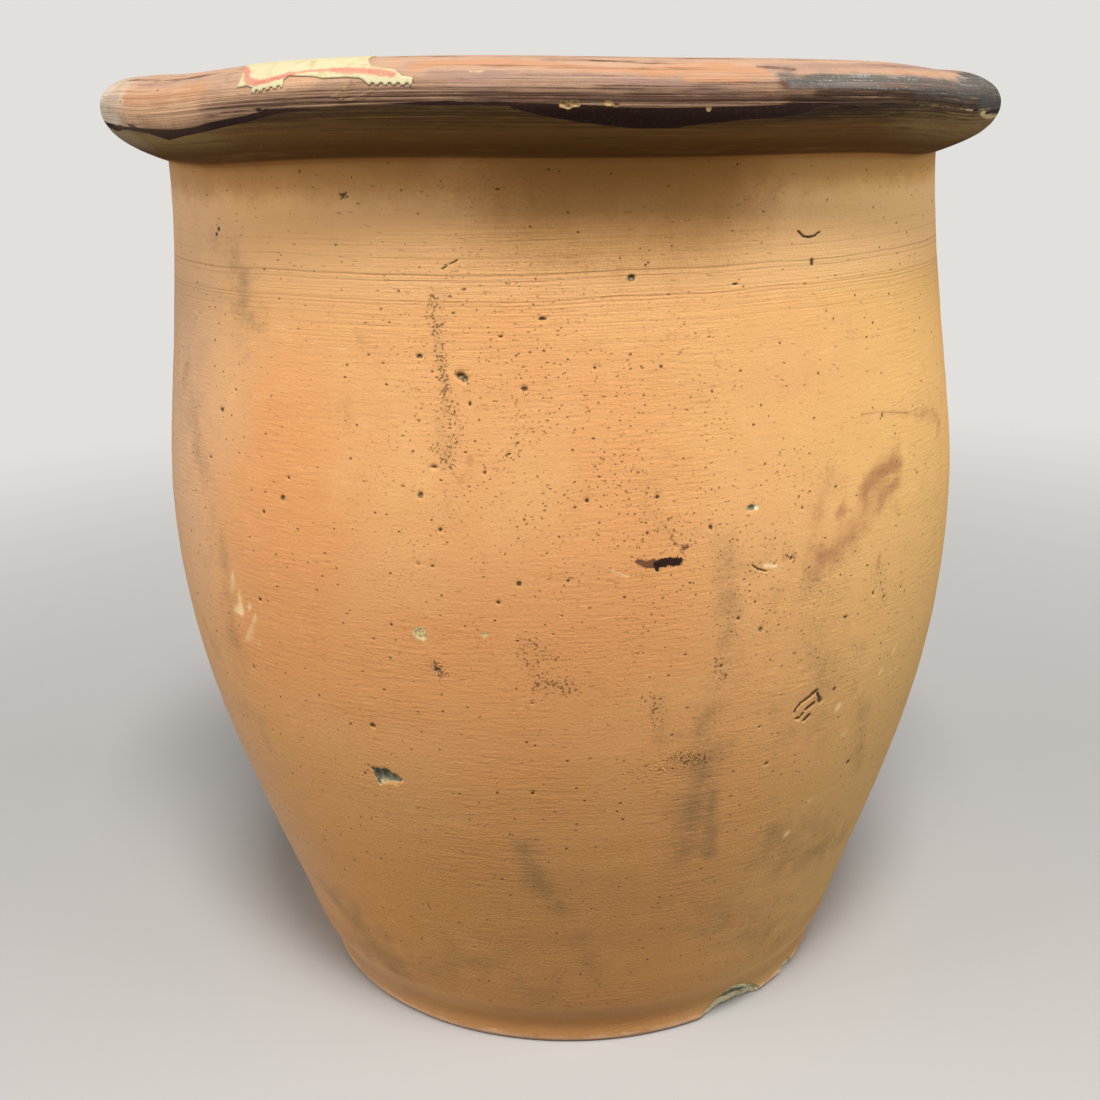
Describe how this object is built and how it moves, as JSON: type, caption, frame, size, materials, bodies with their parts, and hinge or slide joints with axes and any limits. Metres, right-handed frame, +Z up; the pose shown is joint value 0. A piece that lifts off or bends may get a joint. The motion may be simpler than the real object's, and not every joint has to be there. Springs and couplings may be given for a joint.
{
  "type": "clay pot",
  "caption": "Tall open clay pot with a small foot, full belly and thick rolled rim; bare orange clay outside, dark glaze on the rim and inside, and a torn scrap of a paper label.",
  "frame": {"origin": "centre of the foot's underside, on the surface that the pot stands on", "axes": "+Z up the pot's axis to the mouth; -Y is the front, with the label scrap to its left and the chipped foot to its right"},
  "size_m": [0.3, 0.2998, 0.3223],
  "materials": {
    "clay": "unglazed orange earthenware, matt and pitted, with worn dark brown lead-style glaze on the rim and a full glaze inside",
    "paper": "matt cream gummed paper with a faded red border line"
  },
  "bodies": {
    "root": {"pot": "clay", "label_scrap": "paper"}
  },
  "joints": []
}
